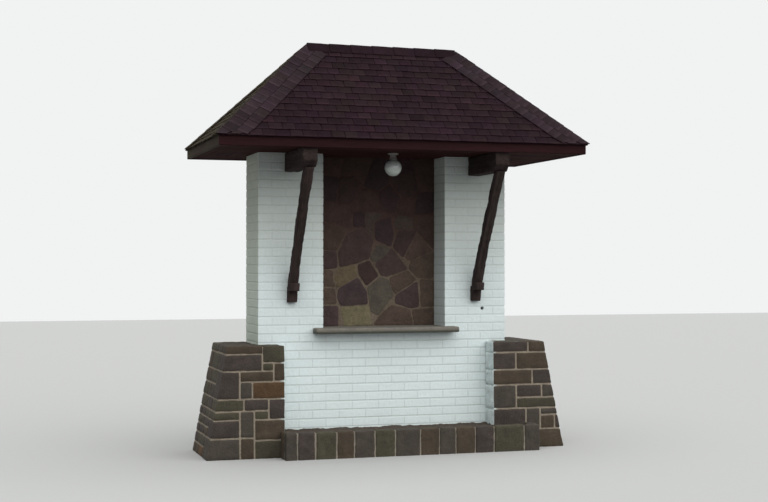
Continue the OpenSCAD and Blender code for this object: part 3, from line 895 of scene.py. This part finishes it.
# The mortar of a run is its box, a little smaller than its stones and roughened by noise. At the
# sides it reaches into the front run's, and on the left it is narrower beside the buttress.
for name, blocks in kerb_blocks.items():
    low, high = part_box(f"{name}_kerb")
    count = max(3, round((high.x - low.x) / 0.04))
    xs = np.linspace(low.x + kerb_recess, high.x - kerb_recess, count)
    begin = low.y + (kerb_recess if name == "front" else -2 * kerb_recess)
    ys = np.linspace(begin, high.y - (0 if name == "left" else kerb_recess), 5)
    zs = np.linspace(0, kerb_high.z - 0.008, 8)
    rings, _, push = box_rings(xs, ys, zs)
    grit = lattice_noise(rings, 0.03, 31.0)
    rings = rings + push * (0.002 * grit * (rings[..., 2] > 0.01))[..., None]
    if name == "left":
        beside = np.interp(rings[..., 0], [xs[0], xs[-1]], [0.012 - inner_x, xs[-1]])
        rings[..., 0] = np.where(rings[..., 1] > front_foot, beside, rings[..., 0])
    bodies = [skin(rings, kerb_mortar)]
    for corners in blocks:
        bodies.append(stone(corners, 0.0, kerb_high.z, greywacke[next(kerb_tones)],
                            next(kerb_seeds), edge=0.012, rough=0.0032, spacing=0.009,
                            dome=0.003, sides=9))
    piece(f"{name}_kerb_blocks", bodies, kerb_stone, [f"{name}_kerb"], sharp=45)

# Soil in the planter
# A bed of dark crumbly garden soil, raked level a little below the kerb's top.
soil_low, soil_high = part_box("planter_soil")
soil_tone = rgb(0.052, 0.038, 0.028)
# Sections run from the front to the back over the top and return along the ground. Where the bed
# passes the right buttress they stop at its front. Noise raises the clods.
xs = np.arange(soil_low.x, soil_high.x, 0.012)
xs = np.sort(np.append(xs, [inner_x - 0.0012, inner_x - 0.0002, soil_high.x]))
behind = np.where(xs < inner_x - 0.0008, soil_high.y, front_foot + 0.004)[:, None]
y = blend(soil_low.y, behind, np.linspace(0, 1, 34))
y = np.concatenate([y, behind, soil_low.y + 0 * behind], 1)
z = np.concatenate([soil_high.z + 0 * y[:, :-2], 0 * y[:, -2:]], 1)
rings = points_at(xs[:, None], y, z)
clods = 0.006 * np.abs(lattice_noise(rings, 0.022, 52.0))
clods = clods + relief(rings, (0.006, 0.055, 51.0), (0.003, 0.013, 53.0))
rings[..., 2] += np.where(rings[..., 2] > 0.1, clods - 0.004, 0)
garden_soil = weathered(
    "garden_soil", roughness=0.95,
    mottles=[(0.05, 0.22), (0.006, 0.25)],
    layers=[((0.10, 0.08, 0.06), 0.012, 0.62, 0.72, 0.6)],
    bump=[(0.012, 0.005), (0.004, 0.002)],
)
bed = skin(rings, soil_tone * (1 + 0.25 * lattice_noise(rings, 0.02, 54.0)[..., None]))
piece("garden_soil_bed", [bed], garden_soil, ["planter_soil"], sharp=60)

# Beams, struts and their foot blocks
# Rough-hewn oak stained dark brown. Each beam lies in a pocket of its pier with its ends cut
# back underneath. A slanting strut with a slight bow runs from it down to the wall, where it
# stands on a block with a toe in front of it.
toe_out = 0.048
oak_tone = rgb(0.0375, 0.0270, 0.0252)
oak = weathered(
    "dark_oak", roughness=0.8, specular=0.08, follow="grain",
    mottles=[(0.05, 0.34), (0.009, 0.34)],
    layers=[((0.070, 0.058, 0.052), 0.03, 0.58, 0.78, 0.5),
            ((0.012, 0.009, 0.008), 0.008, 0.58, 0.70, 0.7)],
    bump=[(0.012, 0.009), (0.004, 0.004)],
)


def node_points(name):
    """The corner points of a CAD node's mesh."""
    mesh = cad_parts[name].data
    points = np.empty(len(mesh.vertices) * 3)
    mesh.vertices.foreach_get("co", points)
    return points.reshape(-1, 3)


def hewn(rings, depth, seed, along):
    """Rings moved out from their own middles: slow lattice noise, less the fold |n| of a noise
    drawn out along the timber's axis, which leaves the flat scoops of an axe with arrises
    between them, and a little fine noise."""
    out = unit(rings - rings.mean(1, keepdims=True))
    drawn = rings * np.where(np.arange(3) == along, 0.5, 1)
    cut = relief(rings, (0.7, 0.16, seed), (0.2, 0.018, seed + 2))
    cut = cut + 0.5 - 1.5 * np.abs(lattice_noise(drawn, 0.045, seed + 1))
    return rings + out * (depth * cut)[..., None]


def shrunk_ends(rings, amount):
    """The first and last rings drawn in towards their middles, which rounds the end arrises."""
    rings = rings.copy()
    ends = rings[[0, -1]]
    rings[[0, -1]] -= unit(ends - ends.mean(1, keepdims=True)) * amount
    return rings


def upright_timber(low, high, level, inner, outer, depth, seed, slimmer=0.0):
    """A hewn timber as a stack of level rings. Each is a rectangle with worn corners, as wide
    as the box less what is hewn off, reaching from the inner to the outer line at its height
    and never into the wall. Its tone and its grain run along it."""
    half_w = (high.x - low.x) / 2 - slimmer
    across, deep = rounded_outline(rectangle(-half_w, -0.04, half_w, 0.04), 0.007, 0.012).T
    y = blend(inner[:, None], outer[:, None], deep / 0.08 + 0.5)
    rings = points_at((low.x + high.x) / 2 + across, y, level[:, None])
    rings = hewn(rings, depth, seed, 2)
    rings[..., 1] = np.minimum(rings[..., 1], pier_face)
    rings[..., 2] = level[:, None]
    grain = points_at(rings[..., 0], deep, rings[..., 2] * 0.09) + seed
    tone = oak_tone * (1 + 0.22 * lattice_noise(grain, 0.02, 65)[..., None])
    return skin(shrunk_ends(rings, 0.003), tone, grain)


for name, sign in (("left", -1), ("right", 1)):
    # A beam is its section carried along it. Towards both ends the underside climbs one in one
    low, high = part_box(f"{name}_beam")
    half_w, half_h = (high.x - low.x) / 2, (high.z - low.z) / 2
    across, up = rounded_outline(rectangle(-half_w, -half_h, half_w, half_h), 0.009, 0.014).T
    inner = np.linspace(low.y + 0.006, high.y - 0.006, 110)
    stations = np.concatenate([[low.y, low.y + 0.003], inner, [high.y - 0.003, high.y]])
    cut_back = half_h * 2 / 3
    to_end = np.minimum(stations - low.y, high.y - stations)
    underside = low.z + np.clip(cut_back - to_end, 0, cut_back)[:, None]
    z = blend(underside, high.z, (up + half_h) / (2 * half_h))
    rings = points_at((low.x + high.x) / 2 + across, stations[:, None], z)
    rings = shrunk_ends(hewn(rings, 0.0045, 60 + sign, 1), 0.004)
    rings[..., 2] = np.minimum(rings[..., 2], high.z)
    grain = rings * (1, 0.09, 1) + 3 * sign
    tone = oak_tone * (1 + 0.2 * lattice_noise(rings * (1, 0.15, 1), 0.05, 64)[..., None])
    beam = skin(rings, tone, grain)
    piece(f"{name}_hewn_beam", [beam], oak, [f"{name}_beam"], sharp=40)

    # A strut lies between the front line and the wall line that its node has at each level
    low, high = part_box(f"{name}_strut")
    points = node_points(f"{name}_strut")
    levels = np.unique(np.round(points[:, 2], 4))
    at_level = np.abs(points[:, 2] - levels[:, None]) < 0.001
    front_line = np.where(at_level, points[:, 1], 9).min(1)
    wall_line = np.where(at_level, points[:, 1], -9).max(1)
    stations = np.linspace(low.z, high.z, 100)
    strut = upright_timber(low, high, stations, np.interp(stations, levels, wall_line),
                           np.interp(stations, levels, front_line), 0.0060, 70 + sign, 0.003)
    piece(f"{name}_hewn_strut", [strut], oak, [f"{name}_strut"], sharp=40)

    # A foot block reaches back to the wall under the strut and to the strut's front above its
    # seat. Its front leans out a little up to the toe, and steps out there
    low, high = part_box(f"{name}_strut_foot")
    seat = levels[0]
    toe_low = 2 * seat - high.z
    block_out = pier_face - toe_out
    under_toe = block_out - (high.z - seat) / 2
    stations = np.concatenate([
        [low.z, low.z + 0.003], np.linspace(low.z + 0.012, toe_low - 0.004, 9),
        [toe_low - 0.0005, toe_low + 0.0005, toe_low + 0.006],
        np.linspace(toe_low + 0.012, seat - 0.002, 3), [seat, seat + 0.001],
        np.linspace(seat + 0.008, high.z - 0.006, 3), [high.z - 0.002, high.z],
    ])
    wall_side = np.interp(stations, [seat, seat + 0.0005], [pier_face, front_line[0]])
    wall_side = np.where(stations > seat, np.interp(stations, levels, front_line), wall_side)
    bends = {
        low.z: block_out, toe_low - 0.0005: under_toe, toe_low: low.y + 0.004,
        toe_low + 0.006: low.y, high.z - 0.006: low.y, high.z: low.y + 0.004,
    }
    front_side = np.interp(stations, list(bends), list(bends.values()))
    foot = upright_timber(low, high, stations, wall_side, front_side, 0.003, 80 + sign)
    piece(f"{name}_hewn_foot", [foot], oak, [f"{name}_strut_foot"], sharp=40)

# Soffit
# Planed boards with bevelled edges, stained brown and nailed under the rafters, level with the
# wall top. They run along the front and the back, and across at the two ends.
board_w = 0.098
board_gap = 0.0007
bevel = 0.004
soffit_tone = rgb(0.040, 0.0175, 0.0175)
soffit_stain = weathered(
    "soffit_stain", roughness=0.8, specular=0.01, follow="grain",
    mottles=[(0.05, 0.25), (0.007, 0.22)],
    layers=[((0.012, 0.008, 0.007), 0.006, 0.58, 0.70, 0.6)],
    bump=[(0.008, 0.0010), (0.003, 0.0005)],
)
# A board's section is its underside between two bevels, its sides and its back. It is carried
# along the panel, and a slow noise cups the underside.
panels = ["niche_ceiling", "front_soffit", "back_soffit", "left_soffit", "right_soffit"]
for panel, name in enumerate(panels):
    low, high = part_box(name)
    axis = 1 if name in ("left_soffit", "right_soffit") else 0
    count = round((high[1 - axis] - low[1 - axis]) / board_w)
    edges = np.linspace(low[1 - axis], high[1 - axis], count + 1)
    length = np.linspace(low[axis], high[axis], max(6, round((high[axis] - low[axis]) / 0.12)))
    bodies = []
    for number in range(count):
        a, b = edges[number] + board_gap, edges[number + 1] - board_gap
        u = np.array([a, a + bevel, *np.linspace(a + 0.02, b - 0.02, 4), b - bevel, b, b, a])
        thick = high.z - low.z
        w = np.array([bevel, 0, 0, 0, 0, 0, 0, bevel, thick, thick]) + low.z
        rings = points_at(*((u, length[:, None]) if axis else (length[:, None], u)), w)
        cup = 0.0010 * lattice_noise(rings, 0.4, 90 + number)
        rings[..., 2] += np.where(rings[..., 2] < high.z - 0.001, cup, 0)
        stretch = np.where(np.arange(3) == axis, 0.07, 1)
        grain = rings * stretch + np.array([0.7, 0.3, 1.1]) * (number + 10 * panel)
        shade = 1 + 0.16 * math.sin(7.3 * number + panel)
        bodies.append(skin(rings, soffit_tone * shade, grain))
    piece(f"{name}_boards", bodies, soffit_stain, [name], sharp=30)

# Fascia
# A planed board round the eaves, mitred at the corners and painted a dark red-brown. It is
# nailed to the rafter ends, with the slates overhanging it. Algae has greened its left side.
fascia_tone = rgb(0.0235, 0.0090, 0.0100)
fascia_algae = rgb(0.044, 0.036, 0.020)
fascia_t = 0.025
eaves_ways = {"front": (0, -1), "right": (1, 0), "back": (0, 1), "left": (-1, 0)}
fascia_paint = weathered(
    "fascia_paint", roughness=0.7, specular=0.03, follow="grain",
    mottles=[(0.08, 0.22), (0.01, 0.18)],
    layers=[((0.014, 0.007, 0.007), 0.02, 0.56, 0.74, 0.6),
            ((0.055, 0.034, 0.030), 0.008, 0.64, 0.74, 0.35)],
    bump=[(0.012, 0.0012), (0.004, 0.0004)],
)
# The section is given by insets from the outer face and levels. Each point runs along the eaves
# as far as the board's half length less its inset, which mitres the corners.
reach_x, reach_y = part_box("right_fascia")[1].x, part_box("back_fascia")[1].y
for number, (name, out) in enumerate(eaves_ways.items()):
    reach, length = (reach_x, reach_y) if out[0] else (reach_y, reach_x)
    points = node_points(f"{name}_fascia")
    outward = points[:, :2] @ np.array(out)
    tip = points[outward > outward.max() - on_plane][:, 2].max()
    low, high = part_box(f"{name}_fascia")
    corners = [(0, low.z), (fascia_t, low.z), (fascia_t, high.z), (0, tip)]
    inset, level = rounded_outline(corners, 0.004, 0.006).T
    run = np.linspace(-1, 1, 60)[:, None] * (length - inset)
    outer = reach - inset
    rings = points_at(outer * out[0] - run * out[1], outer * out[1] + run * out[0], level)
    bow = 0.0012 * lattice_noise(rings, 0.5, 95 + number)
    rings -= bow[..., None] * (*out, 0)
    grain = points_at(run * 0.07, inset, level) + number
    green = 0.85 * (name == "left") * (0.7 + 0.3 * lattice_noise(rings, 0.15, 96))[..., None]
    board = skin(rings, blend(fascia_tone, fascia_algae, green), grain)
    piece(f"{name}_fascia_board", [board], fascia_paint, [f"{name}_fascia"],
          sharp=40)

# Roof boarding
# Close softwood boards nailed level over the rafters of the four slopes, under the slates. Their
# ends are cut to the hips.
roof_x, roof_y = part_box("right_roof_hip")[1].x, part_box("back_roof_slope")[1].y
ridge_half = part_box("ridge_slates")[1].x
roof_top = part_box("front_roof_slope")[1].z
slope_points = node_points("front_roof_slope")
eave_z = slope_points[slope_points[:, 1] < on_plane - roof_y][:, 2].max()
rise = roof_top - eave_z
run_front, run_side = roof_y / rise, (roof_x - ridge_half) / rise
board_width = 0.12
board_thick = 0.022
board_sunk = -0.030
boarding_tone = rgb(0.035, 0.028, 0.024)
# Shares across and up a plate where its points lie
plate_across = np.array([0, 0.035, 0.5, 0.965, 1])
plate_up = np.array([0, 0.035, 0.17, 1])
plate_arris = 0.0011
chance = np.random.default_rng(7)
# Each slope: the way it faces, its reach from the middle, half its width at the eaves, its
# pitch, its length up to the ridge, and how much half its width loses for each metre up it
Slope = namedtuple("Slope", "way reach half pitch length taper")
slopes = {}
for name, way in eaves_ways.items():
    reach, half, run, beside = roof_y, roof_x, run_front, run_side
    if way[0]:
        reach, half, run, beside = roof_x, roof_y, run_side, run_front
    pitch = math.atan(1 / run)
    length, taper = rise / math.sin(pitch), math.sin(pitch) * beside
    slopes[name] = Slope(way, reach, half, pitch, length, taper)


def plates(slope, corners, lift, thick, tones, fade=(1, 1, 1, 1), ragged=0.0):
    """Closed plates on a slope. Each outline's corners are its tail's left and right and its
    head's left and right, measured along the slope from its middle and up it from the eaves. A
    point is the blend of the four corners by its share across and up. The upper face is raised
    by the lift, which changes evenly from tail to head, and the lower face lies a thickness
    below. The tone fades up the plate."""
    east, north = slope.way
    count = len(corners)
    rows = blend(corners[:, :, None, 0], corners[:, :, None, 1], plate_across[:, None])
    flat = blend(rows[:, :1], rows[:, 1:], plate_up[:, None, None])
    edge = (plate_across == 0) | (plate_across == 1)
    tail = (plate_up == 0)[:, None]
    bites = chance.normal(0, 1, (count, 1, len(plate_across))) * ragged + edge * ragged * 2.5
    flat[..., 1] += np.where(tail, bites, 0)
    top = blend(lift[:, :1, None], lift[:, 1:, None], plate_up[:, None])
    faces = []
    for height, inset in ((top - plate_arris * (edge | tail), 0),
                          (top - thick[:, None, None], 0.0015)):
        along, up_slope = flat[..., 0], flat[..., 1] + inset * tail
        out = slope.reach - up_slope * math.cos(slope.pitch) + height * math.sin(slope.pitch)
        level = eave_z + up_slope * math.sin(slope.pitch) + height * math.cos(slope.pitch)
        faces.append(points_at(east * out - north * along, north * out + east * along, level))
    rings = np.concatenate([faces[0], faces[1][:, :, ::-1]], 2)
    local = flat - corners.mean((1, 2))[:, None, None]
    local = np.concatenate([local, local[:, :, ::-1]], 2)
    grain = at_height(local, 0) + chance.uniform(0, 9, (count, 1, 1, 3))
    return skin(rings, tones[:, None, None] * np.array(fade)[:, None, None], grain)


# Boards lie side by side from the eaves up, each as long as the slope is wide at its edges
bodies = []
for slope in slopes.values():
    tails = np.arange(0.10, slope.length - 0.05, board_width)
    heads = np.minimum(tails + board_width - 0.003, slope.length - 0.02)
    ends = np.stack([tails, heads], 1)
    half = slope.half - ends * slope.taper - 0.03
    along = np.stack([-half, half], -1)
    corners = np.stack(np.broadcast_arrays(along, ends[..., None]), -1)
    tones = boarding_tone * chance.uniform(0.8, 1.2, (len(tails), 1))
    lift = np.full((len(tails), 2), board_sunk)
    bodies.append(plates(slope, corners, lift, np.full(len(tails), board_thick), tones))
roof_boards = weathered(
    "roof_boards", roughness=0.85, mottles=[(0.10, 0.2), (0.01, 0.2)], bump=[(0.01, 0.001)]
)
piece("roof_boarding", bodies, roof_boards, sharp=50)

# Slates
# Small dark slates with dressed edges, nailed through the boarding in fifteen courses in half
# bond over a short eaves course. Beside every hip they turn square to it in two close rows.
slate_tone = rgb(0.0122, 0.0057, 0.0082)
border_tone = rgb(0.0200, 0.0126, 0.0155)
moss_tone = rgb(0.032, 0.026, 0.014)
mossiness = {"front": 0.03, "right": 0.10, "back": 0.25, "left": 0.75}
courses = 15
eaves_overhang = 0.009
slate_w = 0.116
slate_thick = 0.006
slate_gap = 0.0035
border_w = 0.105
border_gauge = 0.094
border_thick = 0.007
tail_fade = (1.75, 1.5, 1.0, 0.9)
ragged_tail = 0.0015
slate_play, slate_skew, border_play = 0.007, 0.0035, 0.006
hip_clear, ridge_clear = 0.012, 0.012
# How far a slate, an eaves slate and a border slate reach up, in gauges
slate_reach, eaves_reach, border_reach = 2.1, 0.9, 2.05


def course_outlines(slope, tail, head, offset):
    """Outlines of one course: edges a slate's width apart, cut off at the hips."""
    number = int(slope.half / slate_w) + 2
    edges = (np.arange(-number, number + 1) + offset) * slate_w
    edges = edges + chance.uniform(-slate_play, slate_play, len(edges))
    skew = chance.normal(0, slate_skew, len(edges) - 1)
    spans = []
    for at, shift in ((tail, 0), (head, skew)):
        half = max(slope.half - at * slope.taper - hip_clear, 0.006)
        left = np.clip(edges[:-1] + slate_gap / 2 + shift, -half, half - 0.003)
        right = np.clip(edges[1:] - slate_gap / 2 + shift, 0.003 - half, half)
        spans.append(np.stack([left, right], -1))
    along = np.stack(spans, 1)
    along = along[along[:, 0, 1] - along[:, 0, 0] > 0.02]
    return np.stack(np.broadcast_arrays(along, [[tail], [head]]), -1)


def border_outlines(slope, sign, row):
    """Outlines of one border row at a hip of a slope: each stands square to the hip, reaches
    inwards from the row before it, and is cut off at the eaves and at the slope's middle."""
    measure = math.hypot(1, slope.taper)
    up_hip = np.array([-sign * slope.taper, 1]) / measure
    inward = np.array([-sign, -slope.taper]) / measure
    length = slope.length * measure
    tails = np.arange(0.016 + row * border_gauge / 2, length - 0.08, border_gauge)
    tails = tails + chance.uniform(-border_play, border_play, len(tails))
    heads = np.minimum(tails + border_reach * border_gauge, length - 0.01)
    ends = np.stack([tails, heads], 1)[..., None]
    edges = (border_w + 0.003 if row else -0.005, border_w * (row + 1))
    spots = [np.array([sign * slope.half, 0]) + ends * up_hip + inward * w for w in edges]
    corners = np.stack(spots if sign < 0 else spots[::-1], 2)
    corners[..., 0] = sign * np.maximum(sign * corners[..., 0], 0)
    corners[..., 1] = np.maximum(corners[..., 1], 0.011)
    return corners


def slates(slope, outlines, lift, thick, tone, moss):
    """Slates over outlines. Each has the tone, darker or lighter and tinted by chance, with moss
    over a share of it that varies round the given one."""
    count = len(outlines)
    tone = tone * chance.normal(1, 0.14, (count, 1)) * chance.normal(1, 0.03, (count, 3))
    green = np.clip(chance.normal(moss, 0.03 + 0.15 * moss, (count, 1)), 0, 0.95)
    return plates(slope, outlines, lift, thick, blend(tone, moss_tone, green), tail_fade,
                  ragged_tail)


# A slate's head lies lower than its tail by a thickness for each gauge that it reaches up, so
# each course rests on the one below
bodies = []
for name, slope in slopes.items():
    gauge = slope.length / courses
    for number in range(-1, courses):
        tail = eaves_overhang + max(number, 0) * gauge
        reach = eaves_reach if number < 0 else slate_reach
        head = min(tail + reach * gauge, slope.length - ridge_clear)
        outlines = course_outlines(slope, tail, head, number % 2 / 2)
        lap = (head - tail) / gauge * slate_thick
        down = 0.0002 if number >= 0 else slate_thick * 1.15
        lift = chance.uniform(-0.001, 0.0016, (len(outlines), 1)) - down
        lift = lift + np.array([0.002, 0.002 - lap])
        thick = slate_thick * chance.uniform(0.8, 1.25, len(outlines))
        bodies.append(slates(slope, outlines, lift, thick, slate_tone, mossiness[name]))
    for sign, row in itertools.product((-1, 1), (0, 1)):
        outlines = border_outlines(slope, sign, row)
        lift = chance.uniform(-0.0008, 0.0012, (len(outlines), 1)) + np.array([0.010, 0.003])
        thick = np.full(len(outlines), border_thick)
        bodies.append(slates(slope, outlines, lift, thick, border_tone, mossiness[name]))
slate_finish = weathered(
    "roof_slate", roughness=0.75, specular=0.03, follow="grain",
    mottles=[(0.06, 0.22), (0.008, 0.18)],
    layers=[((0.027, 0.017, 0.017), 0.035, 0.60, 0.80, 0.4),
            ((0.042, 0.031, 0.033), 0.012, 0.66, 0.78, 0.3)],
    bump=[(0.02, 0.0012), (0.005, 0.0006)],
)
piece("roof_slates", bodies, slate_finish,
      ["front_roof_slope", "back_roof_slope", "left_roof_hip", "right_roof_hip"], sharp=30)

# Ridge
# Larger slates bedded over the ridge on both sides, each running under the next, with the front
# leaf standing a little above the back one.
ridge_low, ridge_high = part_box("ridge_slates")
ridge_leaf = ridge_high.y
ridge_fall = ridge_leaf / run_front
leaf = math.hypot(ridge_leaf, ridge_fall)
ridge_count = 7
ridge_lap = 0.05
# Shares down the leaf and heights over it of a slate's section, over the top and back below
down = np.array([0, 0.02, 0.5, 0.97, 1.0, 1.0, 0.5, 0])
over = np.array([0, 0.002, 0.002, 0.001, -0.002, -0.008, -0.008, -0.008])
# A leaf is that section carried along the ridge and sunk evenly towards the next slate
starts = np.linspace(ridge_low.x, ridge_high.x, ridge_count + 1)
bodies = []
for side, number in itertools.product((-1, 1), range(ridge_count)):
    stop = min(starts[number + 1] + ridge_lap, ridge_high.x)
    along = np.linspace(starts[number], stop, 5)[:, None]
    tilt = np.linspace(0, 0.006, 5)[:, None]
    head = 0.004 if side < 0 else -0.002
    lie = 0.016 - tilt + over - 0.008 * down
    y = side * (down * ridge_leaf + ridge_fall / leaf * lie - head)
    z = roof_top + 0.001 - down * ridge_fall + ridge_leaf / leaf * lie
    rings = points_at(along, y, z)
    rings[..., 2] += 0.001 * lattice_noise(rings, 0.05, 120)
    rings[..., 2] = np.minimum(rings[..., 2], ridge_high.z)
    shade = 1 + 0.2 * math.sin(5.1 * number + side)
    bodies.append(skin(rings, slate_tone * shade, rings + number * 0.37 + side))
piece("ridge_slate_leaves", bodies, slate_finish, ["ridge_slates"], sharp=30)

# Lamp
# A round lamp under the soffit: an opal glass globe held by a glazed neck with a collar, on a
# ceiling rose.
rose_low, rose_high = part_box("lamp_rose")
neck_low, neck_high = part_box("lamp_neck")
globe_low, globe_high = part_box("lamp_globe")
lamp_y = (rose_low.y + rose_high.y) / 2
glaze_tone = rgb(0.27, 0.255, 0.235)
glass_tone = rgb(0.55, 0.60, 0.565)
glass_coat = 0.6


def turned(profile, tone, seats=64):
    """A body turned round the lamp's upright axis from (radius, height) points."""
    angle = np.linspace(0, 2 * np.pi, seats, endpoint=False)
    radius, height = np.array(profile).T[..., None]
    x, y = radius * np.cos(angle), radius * np.sin(angle) + lamp_y
    return skin(points_at(x, y, height), tone)


rose_r = (rose_high.x - rose_low.x) / 2
collar_r = (neck_high.x - neck_low.x) / 2
neck_r = collar_r - 0.006
globe_r = (globe_high.x - globe_low.x) / 2
# The rose and the neck, from the top down: radii, and heights above the underside of each
rose = [(rose_r * 0.98, rose_high.z - rose_low.z), (rose_r, rose_high.z - rose_low.z - 0.001),
        (rose_r, 0.006), (rose_r * 0.985, 0.003), (rose_r * 0.94, 0.0006), (rose_r * 0.9, 0),
        (rose_r * 0.3, 0)]
neck = [(neck_r * 0.9, neck_high.z - neck_low.z), (neck_r, neck_high.z - neck_low.z - 0.002),
        (neck_r, 0.014), (neck_r + 0.001, 0.0115), (collar_r - 0.002, 0.0105),
        (collar_r, 0.0085), (collar_r, 0.002), (collar_r - 0.0015, 0), (neck_r * 0.5, 0)]
fitting = [turned(np.array(profile) + (0, foot), glaze_tone)
           for profile, foot in ((rose, rose_low.z), (neck, neck_low.z))]
glaze = weathered("lamp_glaze", roughness=0.3, mottles=[(0.03, 0.06), (0.005, 0.05)],
                  bump=[(0.02, 0.0004)])
piece("lamp_rose_and_neck", fitting, glaze, ["lamp_rose", "lamp_neck"], sharp=40)
polar = np.linspace(math.asin(neck_r / globe_r), np.pi - 0.02, 48)
middle_z = globe_low.z + globe_r
globe = np.stack([globe_r * np.sin(polar), middle_z + globe_r * np.cos(polar)], 1)
opal = weathered("opal_glass", roughness=0.18, specular=0.5, mottles=[(0.05, 0.03), (0.008, 0.02)],
                 layers=[((0.55, 0.54, 0.47), 0.05, 0.58, 0.9, 0.4)], bump=[(0.03, 0.0003)])
opal.node_tree.nodes["Principled BSDF"].inputs["Coat Weight"].default_value = glass_coat
piece("lamp_opal_globe", [turned(globe, glass_tone)], opal, ["lamp_globe"], sharp=60)
